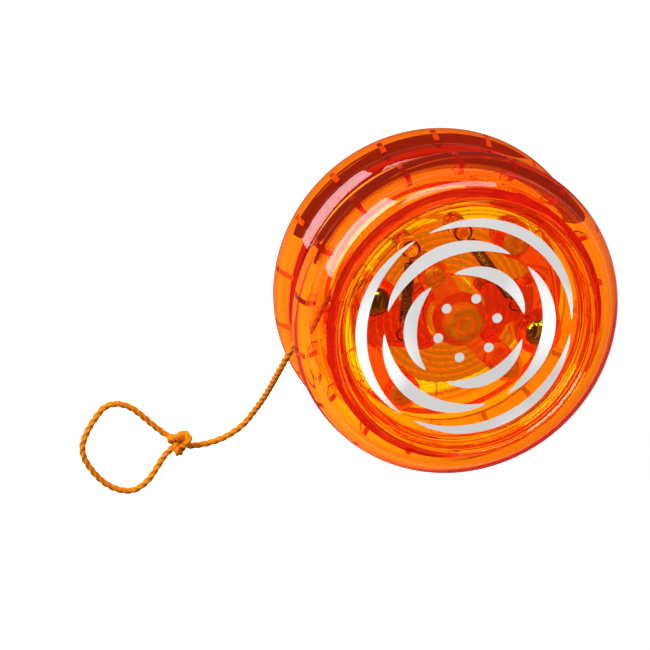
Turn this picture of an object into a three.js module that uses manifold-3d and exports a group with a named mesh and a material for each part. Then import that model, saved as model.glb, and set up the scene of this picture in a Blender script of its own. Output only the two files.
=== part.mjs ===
// A translucent automatic-return yo-yo: two hollow halves on one bolt, a free-turning string drum,
// and a centrifugal clutch of two sprung, ball-weighted arms under the front cap.
// Millimetres, +Z up along the axle. The yo-yo lies on its rear rim, with its origin at the centre of that rim.
import * as THREE from 'three';
import { mergeVertices } from 'three/addons/utils/BufferGeometryUtils.js';
import Module from 'manifold-3d';

const wasm = await Module();
wasm.setup();

// ---- Driving dimensions -------------------------------------------------------------------------

const RADIUS = 28.5; // of the whole yo-yo
const HALF_WIDTH = 15.2; // from the middle of the string gap to a rim's crest
const GAP_HALF = 1.2; // from the middle of the string gap to its wall
const WIDEST_AT = 7.6; // height of the widest circle of a half above the gap's middle
const SEGMENTS = 36; // round the big turned parts
const FINE_SEGMENTS = 20; // round the small ones
const FIT = 0.05; // between faces that rest on each other
const SLIP = 0.15; // between a cap or plate and the shell round it

const SHELL = {
  gapShoulder: { r: 23.2, a: RADIUS - 23.2, b: WIDEST_AT - GAP_HALF },
  faceShoulder: { r: 22.6, a: RADIUS - 22.6, b: HALF_WIDTH - WIDEST_AT },
  wall: 2,
  seam: 25.7, // radius where the shell meets the side plate
  crestOut: 23.7,
  crestIn: 22.9,
  bore: 22.3, // the cap's seat
  lipHeight: 14.6,
  ledge: 11.2, // the cap's skirt stands just above this
  chamber: 20.5, // inside radius of the chamber wall
  chamberWall: 1.5,
  cavityTop: 12.9,
  foot: 3.3, // height where the chamber wall meets the side plate
};
// Short gussets inside the rim's wall, near the gap.
const RIBS = {
  count: 18,
  thickness: 0.9,
  outline: [[24.3, 4.4], [26.1, 4.4], [26.9, 7.6], [26.4, 9.6], [24.9, 8.4]],
};
const PLATE = { thickness: 2, hole: 5.6 };
const CAP = { radius: SHELL.bore - SLIP, skirtInside: 21, edge: 14.5, crown: 15.0, thickness: 1.5 };

const BOLT = { r: 1.5, hole: 1.65, end: 13.1, headAcross: 5.5, headHeight: 2 };
const SLEEVE = { r: 2.0, bore: 1.6 };
const REAR_RECESS = { r: 5.6, floor: -2.2, bossR: 7, bossHeight: 4.2, pocket: 3.3 };
const DRUM = { r: 5.0, bore: 2.1, bottom: -1.6, top: 8.3 };
const WASHER = { thickness: 0.5, r: 4.6, bore: 2.15 };
const BRIDGE = { bottom: 8.8, thickness: 1.8, width: 5.0, bossR: 4.6, endR: 2.6 };
const NUT = { across: 5.5, height: 1.8 };
const NUT_WASHER = { r: 3.4, bore: 1.6, thickness: 0.5 };

// Plan places on clutch arm A, from the axle; arm B is the same piece, half a turn round.
const PIVOT = [9.8, 12.7];
const BALL = [14.5, -3.9];
const ARM_HOOK = [9.9, 1.9];
// The arm's outline, once round: ball collar, outer edge, pivot boss, inner edge, and the shoe round the drum.
const ARM_OUTLINE = [
  [14.5, -8.0], [17.4, -6.8], [18.6, -3.9], [18.1, -0.6], [17.7, 3.0], [16.9, 6.6], [15.3, 10.0],
  [13.2, 13.0], [11.6, 15.5], [9.2, 16.1], [6.9, 14.6], [6.5, 12.2], [8.0, 10.2], [10.6, 9.0],
  [12.6, 6.9], [13.2, 5.3], [11.8, 4.6], [9.4, 4.9], [7.2, 5.4], [5.2, 5.5], [3.9, 4.6],
  [3.9, 3.0], [4.6, 1.6], [4.9, 0], [4.6, -1.6], [3.9, -3.0], [4.3, -4.6],
  [5.9, -5.2], [7.6, -4.2], [8.6, -2.4], [10.2, -1.9], [10.6, -4.0], [11.8, -6.8],
];
// Each clutch arm's spring post and bridge pillar on the front plate.
const POSTS = { a: [0.3, 15.4], b: [-8.7, 12.9] };
const PILLARS = { a: [8.5, -9.1], b: [-4.9, 8.3] };

const ARM = { bottom: 3.6, top: 8.4, collarR: 4.0, collarTop: 9.0, shoeGap: 0.45, outlineSteps: 72 };
const BALL_R = 3.175;
const BALL_HEIGHT = 6.75;
const POCKET = { r: 3.3, lipFrom: 7.5, lipR: 2.55 };
const PIVOT_SCREW = { r: 1.25, bore: 1.35, bottom: 1.9, head: 2.2, headHeight: 1.2 };
const PILLAR_R = 2.2;
const BRIDGE_SCREW = { r: 0.9, bore: 1.0, bottom: 5.2, head: 1.9, headHeight: 1.1 };
const SPRING = { r: 1.0, height: 9.7, wire: 0.4, loopGap: 0.15, neck: 2.0 };
const HOOK = { armR: 0.8, fixedR: 1.1, top: 10.6 };

const STRING = { r: 0.55, windingIn: 5.15, windingOut: 15.2, windingHalf: 1.12 };

// ---- Helpers ------------------------------------------------------------------------------------

// A closed solid from a closed (radius, height) profile turned about Z.
function turned(profile, segments = SEGMENTS) {
  const points = profile.map(([r, z]) => new THREE.Vector2(r, z));
  points.push(points[0].clone());
  return new THREE.LatheGeometry(points, segments).rotateX(Math.PI / 2);
}

// Points along an ellipse about (r, z), from one angle to another, in degrees.
function ellipse(r, z, a, b, from, to, steps) {
  return Array.from({ length: steps + 1 }, (_, i) => {
    const t = THREE.MathUtils.degToRad(from + ((to - from) * i) / steps);
    return [r + a * Math.cos(t), z + b * Math.sin(t)];
  });
}

// A ring or, with no inner radius, a disc.
function ring(rIn, rOut, bottom, top, segments = FINE_SEGMENTS) {
  return turned([[rOut, bottom], [rOut, top], [rIn, top], [rIn, bottom]], segments);
}

function extruded(shape, bottom, top, curveSegments = 12) {
  const options = { depth: top - bottom, bevelEnabled: false, curveSegments };
  return new THREE.ExtrudeGeometry(shape, options).translate(0, 0, bottom);
}

function cylinder([x, y], r, bottom, top, segments = FINE_SEGMENTS) {
  return ring(0, r, bottom, top, segments).translate(x, y, 0);
}

function hexagon(across, bottom, top) {
  return ring(0, across / Math.sqrt(3), bottom, top, 6);
}

// Closed geometry to a manifold-3d solid and back.
function solid(geometry) {
  const plain = new THREE.BufferGeometry();
  const source = geometry.index ? geometry.toNonIndexed() : geometry;
  plain.setAttribute('position', source.getAttribute('position'));
  const merged = mergeVertices(plain, 1e-4);
  return new wasm.Manifold(new wasm.Mesh({
    numProp: 3,
    vertProperties: merged.attributes.position.array,
    triVerts: new Uint32Array(merged.index.array),
  }));
}

function geometryOf(made) {
  const mesh = made.getMesh();
  return new THREE.BufferGeometry()
    .setAttribute('position', new THREE.BufferAttribute(mesh.vertProperties, 3))
    .setIndex(new THREE.BufferAttribute(mesh.triVerts, 1));
}

const join = (...geometries) => geometries.map(solid).reduce((a, b) => a.add(b));
const cut = (from, ...geometries) => geometries.map(solid).reduce((a, b) => a.subtract(b), from);
const opposite = ([x, y]) => [-x, -y];

// A rounded bar in plan between two points.
function bar([x0, y0], [x1, y1], width, bottom, top) {
  const angle = Math.atan2(y1 - y0, x1 - x0);
  const shape = new THREE.Shape();
  shape.absarc(x0, y0, width / 2, angle + Math.PI / 2, angle + 1.5 * Math.PI, false);
  shape.absarc(x1, y1, width / 2, angle - Math.PI / 2, angle + Math.PI / 2, false);
  return extruded(shape, bottom, top, 6);
}

// ---- Materials ----------------------------------------------------------------------------------

const plastic = new THREE.MeshStandardMaterial({ color: 0xf26a0a, roughness: 0.12, metalness: 0 });
const clearPlastic = new THREE.MeshStandardMaterial({ color: 0xf9a01b, roughness: 0.08, metalness: 0 });
const nylon = new THREE.MeshStandardMaterial({ color: 0xe8702a, roughness: 0.4, metalness: 0 });
const steel = new THREE.MeshStandardMaterial({ color: 0xb9bcc2, roughness: 0.25, metalness: 1 });
const springSteel = new THREE.MeshStandardMaterial({ color: 0x6a5a4c, roughness: 0.35, metalness: 1 });
const cotton = new THREE.MeshStandardMaterial({ color: 0xf07a14, roughness: 0.9, metalness: 0 });

// ---- The two halves, each drawn in its own frame: z = 0 is the gap's middle, +Z out to its cap ----

// Height of the gap-side shoulder at a radius.
function shoulderHeight(r) {
  const { r: centre, a, b } = SHELL.gapShoulder;
  return WIDEST_AT - b * Math.sqrt(1 - ((r - centre) / a) ** 2);
}

// The rounded outer rim with its hollow, the chamber wall and the cap's seat.
function rimShell() {
  const { gapShoulder: g, faceShoulder: f, wall } = SHELL;
  const seamAngle = THREE.MathUtils.radToDeg(Math.acos((SHELL.seam - g.r) / g.a));
  const crestAngle = THREE.MathUtils.radToDeg(Math.acos((SHELL.crestOut - f.r) / f.a));
  const cavityAngle = THREE.MathUtils.radToDeg(Math.asin((SHELL.cavityTop - WIDEST_AT) / (f.b - wall)));
  const profile = [
    ...ellipse(g.r, WIDEST_AT, g.a, g.b, -seamAngle, 0, 4),
    ...ellipse(f.r, WIDEST_AT, f.a, f.b, 0, crestAngle, 6).slice(1),
    [SHELL.crestOut, HALF_WIDTH],
    [SHELL.crestIn, HALF_WIDTH],
    [SHELL.bore, SHELL.lipHeight],
    [SHELL.bore, SHELL.ledge],
    [SHELL.chamber, SHELL.ledge],
    [SHELL.chamber, SHELL.foot],
    [SHELL.chamber + SHELL.chamberWall, SHELL.foot],
    [SHELL.chamber + SHELL.chamberWall, SHELL.ledge - SHELL.chamberWall],
    [SHELL.bore + SHELL.chamberWall, SHELL.ledge],
    ...ellipse(f.r, WIDEST_AT, f.a - wall, f.b - wall, cavityAngle, 0, 3),
    [SHELL.seam, SHELL.foot + 1.2],
  ];
  const ribShape = new THREE.Shape(RIBS.outline.map(([r, z]) => new THREE.Vector2(r, z)));
  const rib = extruded(ribShape, -RIBS.thickness / 2, RIBS.thickness / 2).rotateX(Math.PI / 2);
  let made = solid(turned(profile));
  for (let i = 0; i < RIBS.count; i += 1) {
    made = made.add(solid(rib.clone().rotateZ(((i + 0.5) * 2 * Math.PI) / RIBS.count)));
  }
  return geometryOf(made);
}

// The disc that closes a shell on its gap side. Its edge carries on the shell's rounded shoulder.
function plateProfile(hole, holeFrom) {
  const edge = SHELL.seam - SLIP;
  const top = GAP_HALF + PLATE.thickness;
  const shoulder = [23.2, 24, 24.8, edge].map((r) => [r, shoulderHeight(r)]);
  return [[hole, holeFrom], ...shoulder, [edge, top], [hole, top]];
}

// The front plate carries the clutch: seats for its pivots, two hook posts and two bridge pillars.
function frontPlate() {
  const top = GAP_HALF + PLATE.thickness;
  const sink = top - 0.5;
  let made = solid(turned(plateProfile(PLATE.hole, GAP_HALF)));
  for (const side of ['a', 'b']) {
    const pivot = side === 'a' ? PIVOT : opposite(PIVOT);
    made = made
      .add(solid(cylinder(PILLARS[side], PILLAR_R, sink, BRIDGE.bottom - FIT, 20)))
      .add(solid(cylinder(POSTS[side], HOOK.fixedR + 0.7, sink, SPRING.height - 1.2, 20)))
      .add(solid(cylinder(POSTS[side], HOOK.fixedR, sink, HOOK.top, 20)))
      .subtract(solid(cylinder(pivot, PIVOT_SCREW.bore, PIVOT_SCREW.bottom - 0.1, top + 1, 20)))
      .subtract(solid(cylinder(PILLARS[side], BRIDGE_SCREW.bore, BRIDGE_SCREW.bottom - 0.2, 12, 16)));
  }
  return geometryOf(made);
}

// The rear plate has a recess for the drum's foot, a hexagonal pocket for the bolt's head and stiffening ribs.
function rearPlate() {
  const top = GAP_HALF + PLATE.thickness;
  const boss = cylinder([0, 0], REAR_RECESS.bossR, top - 0.5, REAR_RECESS.bossHeight);
  let made = solid(turned(plateProfile(0, GAP_HALF))).add(solid(boss));
  for (let i = 0; i < 6; i += 1) {
    const rib = new THREE.BoxGeometry(14, 1.1, 1.8).translate(REAR_RECESS.bossR + 6.2, 0, top + 0.4);
    made = made.add(solid(rib.rotateZ(((i + 0.5) * Math.PI) / 3)));
  }
  return geometryOf(cut(
    made,
    cylinder([0, 0], REAR_RECESS.r, 0, -REAR_RECESS.floor),
    cylinder([0, 0], BOLT.hole, 0, 12, 24),
    hexagon(BOLT.headAcross + 0.4, REAR_RECESS.pocket, 12),
  ));
}

// A shallow crowned lens with a skirt that pushes into the shell's bore.
function cap() {
  const { radius, skirtInside, edge, crown, thickness } = CAP;
  const dome = (r, top) => edge + (crown - edge) * (1 - (r / radius) ** 2) - (top ? 0 : thickness);
  const radii = [18, 12, 6, 0];
  return turned([
    [skirtInside, SHELL.ledge + SLIP],
    [radius, SHELL.ledge + SLIP],
    [radius, edge - 0.3],
    [radius - 0.4, edge],
    ...radii.map((r) => [r, dome(r, true)]),
    ...radii.toReversed().map((r) => [r, dome(r, false)]),
    [skirtInside, dome(skirtInside, false)],
  ]);
}

// ---- Axle parts, drawn in the front half's frame ---------------------------------------------------

function bolt() {
  const headFrom = -REAR_RECESS.pocket - BOLT.headHeight;
  return geometryOf(join(
    cylinder([0, 0], BOLT.r, headFrom + 0.5, BOLT.end, 24),
    hexagon(BOLT.headAcross, headFrom, -REAR_RECESS.pocket - FIT),
  ));
}

const washer = (at) => ring(WASHER.bore, WASHER.r, at, at + WASHER.thickness);

function bridge() {
  const { bottom, thickness, width, bossR, endR } = BRIDGE;
  const top = bottom + thickness;
  const ends = Object.values(PILLARS);
  const made = join(
    cylinder([0, 0], bossR, bottom, top),
    ...ends.map((end) => bar([0, 0], end, width, bottom, top)),
    ...ends.map((end) => cylinder(end, endR, bottom, top)),
  );
  const holes = ends.map((end) => cylinder(end, BRIDGE_SCREW.bore, 0, 20, 16));
  return geometryOf(cut(made, cylinder([0, 0], BOLT.hole, 0, 20, 24), ...holes));
}

function screw(at, r, bottom, seat, head, headHeight) {
  return geometryOf(join(
    cylinder(at, r, bottom, seat + headHeight / 2, 20),
    cylinder(at, head, seat, seat + headHeight, 20),
  ));
}

// ---- The clutch -----------------------------------------------------------------------------------

// Arm A: a pivot boss, a bowed bar out to the ball's collar, and a brake shoe that hugs the drum.
function clutchArm() {
  const loop = new THREE.CatmullRomCurve3(ARM_OUTLINE.map(([x, y]) => new THREE.Vector3(x, y, 0)), true);
  const shape = new THREE.Shape(loop.getPoints(ARM.outlineSteps).slice(0, -1));
  const made = join(
    extruded(shape, ARM.bottom, ARM.top),
    cylinder(BALL, ARM.collarR, ARM.bottom, ARM.collarTop),
    cylinder(ARM_HOOK, HOOK.armR, ARM.top - 0.5, HOOK.top, 16),
  );
  const { r, lipFrom, lipR } = POCKET;
  const pocket = turned([[0, 0], [r, 0], [r, lipFrom], [lipR, ARM.collarTop], [lipR, 20], [0, 20]], FINE_SEGMENTS);
  return geometryOf(cut(
    made,
    cylinder([0, 0], DRUM.r + ARM.shoeGap, 0, 20, SEGMENTS),
    cylinder(PIVOT, PIVOT_SCREW.bore, 0, 20, 20),
    pocket.translate(...BALL, 0),
  ));
}

// A tension spring's outline: its coil body, and a flat loop round the post at each end.
function clutchSpring([x0, y0], [x1, y1]) {
  const length = Math.hypot(x1 - x0, y1 - y0);
  const loop = (at, post) => {
    const inside = post + SPRING.loopGap;
    return ring(inside, inside + SPRING.wire, -SPRING.wire / 2, SPRING.wire / 2, 20).translate(at, 0, 0);
  };
  const body = new THREE.CylinderGeometry(SPRING.r, SPRING.r, length - 2 * SPRING.neck, 16)
    .rotateZ(Math.PI / 2)
    .translate(length / 2, 0, 0);
  const armNeck = HOOK.armR + SPRING.loopGap + 0.1;
  const fixedNeck = HOOK.fixedR + SPRING.loopGap + 0.1;
  const wire = new THREE.BoxGeometry(length - armNeck - fixedNeck, SPRING.wire, SPRING.wire)
    .translate(length / 2 + (armNeck - fixedNeck) / 2, 0, 0);
  return geometryOf(join(body, wire, loop(0, HOOK.armR), loop(length, HOOK.fixedR)))
    .rotateZ(Math.atan2(y1 - y0, x1 - x0))
    .translate(x0, y0, SPRING.height);
}

// ---- The string, in the object's own frame --------------------------------------------------------

// Loosely off the winding's outer turn, out of the gap, over the rear rim and down to the table.
const LEAD_ROUTE = [
  [-3.2, 15.9, 15.2],
  [-8.5, 14.7, 15.2],
  [-13.2, 11.9, 15.2],
  [-17.2, 7.9, 15.2],
  [-20.2, 3.8, 15.2],
  [-22.6, 0.1, 15.2],
  [-24.8, -3.6, 15.15],
  [-27.0, -7.1, 14.6],
  [-28.3, -11.3, 12.0],
  [-28.9, -15.0, 8.5],
  [-29.7, -18.8, 5.2],
  [-31.0, -22.5, 2.4],
  [-33.0, -25.7, 1.05],
  [-35.7, -27.7, 0.6],
  [-38.6, -28.7, 0.6],
  [-41.2, -29.0, 0.7],
];
// The finger loop, lying flat, out of the knot and back to it.
const LOOP_ROUTE = [
  [-46.9, -26.4, 0.8],
  [-48.9, -24.7, 0.6],
  [-51.0, -22.6, 0.6],
  [-53.1, -20.8, 0.6],
  [-55.5, -19.9, 0.6],
  [-57.7, -20.4, 0.6],
  [-59.4, -22.3, 0.6],
  [-60.9, -24.7, 0.6],
  [-61.8, -27.2, 0.6],
  [-61.6, -29.6, 0.6],
  [-60.1, -32.4, 0.6],
  [-58.0, -34.8, 0.6],
  [-55.5, -36.3, 0.6],
  [-52.8, -36.6, 0.6],
  [-50.4, -35.1, 0.6],
  [-48.7, -32.8, 0.6],
  [-47.3, -30.6, 0.7],
];
const KNOT_LUMPS = [
  { at: [-45.2, -26.0, 1.3], r: 1.25 },
  { at: [-44.9, -27.8, 1.35], r: 1.3 },
  { at: [-43.1, -28.8, 1.3], r: 1.25 },
  { at: [-45.5, -29.1, 1.0], r: 0.95 },
];

function stringAlong(route, steps) {
  const section = new THREE.Shape();
  section.absarc(0, 0, STRING.r, 0, 2 * Math.PI, false);
  const path = new THREE.CatmullRomCurve3(route.map((p) => new THREE.Vector3(...p)));
  return new THREE.ExtrudeGeometry(section, { steps, extrudePath: path, curveSegments: 4 });
}

function knot() {
  return geometryOf(join(...KNOT_LUMPS.map(({ at, r }) => (
    new THREE.SphereGeometry(r, 10, 7).translate(...at)
  ))));
}

// ---- Assembly -------------------------------------------------------------------------------------

const yoyo = new THREE.Group();
const front = new THREE.Group();
front.position.z = HALF_WIDTH;
const rear = new THREE.Group();
rear.position.z = HALF_WIDTH;
rear.rotation.x = Math.PI;
yoyo.add(front, rear);

function add(group, name, geometry, material) {
  const mesh = new THREE.Mesh(geometry, material);
  mesh.name = name;
  group.add(mesh);
}

for (const [group, half] of [[front, 'front'], [rear, 'rear']]) {
  add(group, `${half}_rim_shell`, rimShell(), plastic);
  add(group, `${half}_cap`, cap(), clearPlastic);
}
add(front, 'front_side_plate', frontPlate(), plastic);
add(rear, 'rear_side_plate', rearPlate(), plastic);

const bridgeTop = BRIDGE.bottom + BRIDGE.thickness;
const nutFrom = bridgeTop + NUT_WASHER.thickness + 2 * FIT;
const nut = geometryOf(cut(
  solid(hexagon(NUT.across, nutFrom, nutFrom + NUT.height)),
  cylinder([0, 0], BOLT.hole, 0, 20, 24),
));
add(front, 'axle_bolt', bolt(), steel);
add(front, 'bearing_sleeve', ring(SLEEVE.bore, SLEEVE.r, REAR_RECESS.floor + FIT, BRIDGE.bottom - FIT), steel);
add(front, 'rear_thrust_washer', washer(REAR_RECESS.floor + FIT), steel);
add(front, 'front_thrust_washer', ring(WASHER.bore, WASHER.r, DRUM.top + FIT, BRIDGE.bottom - 0.1), steel);
add(front, 'nut_washer', ring(NUT_WASHER.bore, NUT_WASHER.r, bridgeTop + FIT, nutFrom - FIT), steel);
add(front, 'axle_nut', nut, steel);
add(front, 'clutch_bridge', bridge(), plastic);
add(front, 'string_drum', ring(DRUM.bore, DRUM.r, DRUM.bottom, DRUM.top), nylon);

for (const [side, turn] of [['a', 0], ['b', Math.PI]]) {
  const half = new THREE.Group();
  half.rotation.z = turn;
  front.add(half);
  const pivotSeat = ARM.top + 0.1;
  const { r, bottom, head, headHeight } = PIVOT_SCREW;
  add(half, `clutch_arm_${side}`, clutchArm(), plastic);
  add(half, `weight_ball_${side}`, new THREE.SphereGeometry(BALL_R, 18, 12).translate(...BALL, BALL_HEIGHT), steel);
  add(half, `pivot_screw_${side}`, screw(PIVOT, r, bottom, pivotSeat, head, headHeight), steel);
  const armHook = side === 'a' ? ARM_HOOK : opposite(ARM_HOOK);
  add(front, `clutch_spring_${side}`, clutchSpring(armHook, POSTS[side]), springSteel);
  const b = BRIDGE_SCREW;
  const bridgeScrew = screw(PILLARS[side], b.r, b.bottom, bridgeTop + FIT, b.head, b.headHeight);
  add(front, `bridge_screw_${side}`, bridgeScrew, steel);
}

const { windingIn, windingOut, windingHalf } = STRING;
const winding = ring(windingIn, windingOut, HALF_WIDTH - windingHalf, HALF_WIDTH + windingHalf, SEGMENTS);
add(yoyo, 'string_winding', winding, cotton);
add(yoyo, 'string_lead', stringAlong(LEAD_ROUTE, 36), cotton);
add(yoyo, 'finger_knot', knot(), cotton);
add(yoyo, 'finger_loop', stringAlong(LOOP_ROUTE, 44), cotton);

export default yoyo;
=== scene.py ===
"""A translucent orange auto-return yo-yo, lying on its rear face with its string's loop out on the table.

Shapes are worked out in millimetres, with Z up the axle, and turned into metres as each mesh is made.
"""

import math

import bmesh
import bpy
import numpy as np
from mathutils import Matrix, Vector


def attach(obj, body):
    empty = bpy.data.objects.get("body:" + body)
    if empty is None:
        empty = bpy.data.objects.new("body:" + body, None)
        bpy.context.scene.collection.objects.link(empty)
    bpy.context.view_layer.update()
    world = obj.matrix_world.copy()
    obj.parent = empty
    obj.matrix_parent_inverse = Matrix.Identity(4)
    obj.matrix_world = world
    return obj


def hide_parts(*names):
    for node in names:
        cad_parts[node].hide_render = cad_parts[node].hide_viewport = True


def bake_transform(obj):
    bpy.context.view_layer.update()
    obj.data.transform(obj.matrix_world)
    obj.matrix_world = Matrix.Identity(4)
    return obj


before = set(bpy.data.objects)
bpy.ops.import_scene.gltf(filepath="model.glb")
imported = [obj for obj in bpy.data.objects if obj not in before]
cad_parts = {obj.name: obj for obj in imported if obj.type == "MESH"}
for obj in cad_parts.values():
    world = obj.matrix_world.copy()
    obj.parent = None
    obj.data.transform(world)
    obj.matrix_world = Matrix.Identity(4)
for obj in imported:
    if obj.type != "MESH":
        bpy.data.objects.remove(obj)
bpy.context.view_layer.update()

# ---- Driving dimensions ----------------------------------------------------------------------------
# In millimetres. Heights are from the gap's middle, unless a comment says otherwise.

MM = 0.001
RADIUS = 28.5
HALF_WIDTH = 15.2
GAP_HALF = 1.2
WIDEST_AT = 7.6
SEAM = 25.7  # the radius where each shell meets its plate
SLIP = 0.15  # clearance between parts that fit together
ROUND_STEPS = 216  # round the big turned parts
SMALL_STEPS = 48  # round the small ones

GAP_SHOULDER = {"r": 23.2, "a": RADIUS - 23.2, "b": WIDEST_AT - GAP_HALF}
FACE_SHOULDER = {"r": 22.6, "a": RADIUS - 22.6, "b": HALF_WIDTH - WIDEST_AT}
WALL = 2.0
ROOF = 12.9  # the hollow rim's ceiling
CREST_R = 22.75
CREST_ANGLE = 83
BORE = 22.3
BORE_TOP = 14.6
LEDGE = 11.2
CHAMBER = 20.5
CHAMBER_WALL = 1.0
FOOT = 3.3  # of the chamber's wall
SEAM_FOOT = 4.5
GUSSETS = {
    "count": 18,
    "thickness": 0.9,
    "outline": [(24.3, 4.4), (26.1, 4.4), (26.9, 7.6), (26.4, 9.6), (24.9, 8.4)],
}

PLATE_TOP = 3.2
PLATE_HOLE = 5.6  # round the drum, in both plates
RECESS_TOP = 2.2  # of the rear plate's hole, which is blind
SINK = 0.5  # how deep a boss or hook starts inside what it stands on
REAR_BOSS = {"r": 7.0, "top": 4.2}
STIFFENERS = {"count": 6, "size": (14, 1.1, 1.8), "r": 13.2}
CAP_RADIUS = BORE - SLIP
CAP_EDGE = 14.5
CAP_CROWN = 15.0
CAP_THICKNESS = 1.5
CAP_SKIRT_R = 21.0
CAP_GROOVES = (21.3, 20.6, 19.9)
GROOVE = {"lip": 0.16, "floor": 0.06, "depth": 0.14}  # lip and floor are half widths
# Each ring of printed arcs: its radius and width, and each arc's sweep and start in degrees.
PRINT_ARCS = [(18.4, 1.9, 112, 0), (14.4, 2.4, 104, 60), (10.0, 2.3, 94, 10)]
ARCS_TO_A_RING = 3
PRINT_LAYER = (0.012, 0.04)  # above the cap
DOTS = {"count": 6, "ring_r": 5.3, "r": 0.85, "first": 15, "layer": (14.985, 15.015)}  # first in degrees

BOLT_R = 1.5
BOLT_HOLE_R = 1.65
BOLT_HEAD = (-5.3, -3.35)  # bottom and top
HEX_ACROSS = 5.5
THREAD = {"from": 9.0, "to": 12.7, "pitch": 0.5, "depth": 0.22, "end": 13.1}
NUT = (11.2, 13.0)  # bottom and top
POCKET = {"across": 5.9, "from": 3.3}
DRUM_R = 5.0
DRUM_BORE = 2.1
DRUM_BOTTOM = -1.6
DRUM_TOP = 8.3
DRUM_STEPS = 96
FLUTES = {"count": 24, "ring_r": 5.25, "r": 0.42}

PIVOT = (9.8, 12.7)
BALL = (14.5, -3.9)
BALL_R = 3.175
BALL_HEIGHT = 6.75
BALL_POCKET = {"r": 3.3, "lip_r": 2.55, "lip_from": 7.5}
ARM_HOOK = (9.9, 1.9)
HOOK_R = 0.8
POSTS = {"a": (0.3, 15.4), "b": (-8.7, 12.9)}
POST_R = 1.1
POST_FOOT_R = 1.8
PILLARS = {"a": (8.5, -9.1), "b": (-4.9, 8.3)}
PILLAR_R = 2.2
PIVOT_HOLE_R = 1.35
SCREW_HOLE_R = 1.0
PIN_TOP = 10.6  # of the hooks and the posts
ARM_BOTTOM = 3.6
ARM_TOP = 8.4
COLLAR_R = 4.0
COLLAR_TOP = 9.0
SHOE_R = 5.45
# Clutch arm A's outline, once round: ball collar, outer edge, pivot boss, inner edge, and the shoe.
ARM_OUTLINE = [
    (14.5, -8.0), (17.4, -6.8), (18.6, -3.9), (18.1, -0.6), (17.7, 3.0), (16.9, 6.6), (15.3, 10.0),
    (13.2, 13.0), (11.6, 15.5), (9.2, 16.1), (6.9, 14.6), (6.5, 12.2), (8.0, 10.2), (10.6, 9.0),
    (12.6, 6.9), (13.2, 5.3), (11.8, 4.6), (9.4, 4.9), (7.2, 5.4), (5.2, 5.5), (3.9, 4.6),
    (3.9, 3.0), (4.6, 1.6), (4.9, 0.0), (4.6, -1.6), (3.9, -3.0), (4.3, -4.6),
    (5.9, -5.2), (7.6, -4.2), (8.6, -2.4), (10.2, -1.9), (10.6, -4.0), (11.8, -6.8),
]  # fmt: skip

BRIDGE_BOTTOM = 8.8
BRIDGE_TOP = 10.6
BRIDGE_ARM_R = 2.5
BRIDGE_HUB_R = 4.6
BRIDGE_END_R = 2.6
PIVOT_SCREW = {"shank": 1.25, "bottom": 1.9, "seat": 8.8, "head": 2.2, "height": 0.9}
BRIDGE_SCREW = {"shank": 0.9, "bottom": 5.2, "seat": 10.65, "head": 1.9, "height": 1.1}
CROSS_TURN = 0.35  # radians, of the screws' recesses
WASHER_EDGE = 0.00008  # metres
SPRING_HEIGHT = 9.7
WIRE_R = 0.19
COIL_R = 0.8
EYE_GAP = 0.15  # from a spring's end loop to its pin
EYE_NECK = 0.7  # from a spring's end loop to its coils

STRING_R = 0.55
STRING_TWIST = 4.6
STRING_STEP = 0.3
PLY_R = 0.6  # a ply's radius and offset, as shares of the string's radius
PLY_OFFSET = 0.52
# The winding runs out from one radius to another, side to side, and leaves at finish degrees.
WINDING = {"from": 5.75, "to": 14.6, "turns": 15.25, "side": 0.57, "finish": 72, "steps": 60}
WOUND_WITHIN = 16.5  # inside this radius the wound string takes a lighter copy of its material that glows more, painted light, and outside it the plain one
# The string's way out of the gap and down to the table, and then round the finger loop. Here and in
# the knot, heights are from the table.
LEAD_ROUTE = [
    (-3.2, 15.9, 15.2), (-8.5, 14.7, 15.2), (-13.2, 11.9, 15.2), (-17.2, 7.9, 15.2),
    (-20.2, 3.8, 15.2), (-22.6, 0.1, 15.2), (-24.8, -3.6, 15.15), (-27.0, -7.1, 14.6),
    (-28.3, -11.3, 12.0), (-28.9, -15.0, 8.5), (-29.7, -18.8, 5.2), (-31.0, -22.5, 2.4),
    (-33.0, -25.7, 1.05), (-35.7, -27.7, 0.6), (-38.6, -28.7, 0.6), (-41.2, -29.0, 0.7),
]  # fmt: skip
LOOP_ROUTE = [
    (-46.9, -26.4, 0.8), (-48.9, -24.7, 0.6), (-51.0, -22.6, 0.6), (-53.1, -20.8, 0.6),
    (-55.5, -19.9, 0.6), (-57.7, -20.4, 0.6), (-59.4, -22.3, 0.6), (-60.9, -24.7, 0.6),
    (-61.8, -27.2, 0.6), (-61.6, -29.6, 0.6), (-60.1, -32.4, 0.6), (-58.0, -34.8, 0.6),
    (-55.5, -36.3, 0.6), (-52.8, -36.6, 0.6), (-50.4, -35.1, 0.6), (-48.7, -32.8, 0.6),
    (-47.3, -30.6, 0.7),
]  # fmt: skip
INTO_KNOT = (-43.0, -28.8, 1.0)
OUT_OF_KNOT = (-45.8, -28.9, 1.1)
KNOT_AT = (-44.6, -27.8, 1.5)
KNOT_SIZE = (0.68, 0.74, 0.75)  # along X, Y and Z
KNOT_LOBES = 1.6
KNOT_STRING_R = 0.66
KNOT_TWIST = 3.8
KNOT_STEP = 0.2

scene = bpy.context.scene


# ---- Camera, light and floor -----------------------------------------------------------------------

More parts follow.
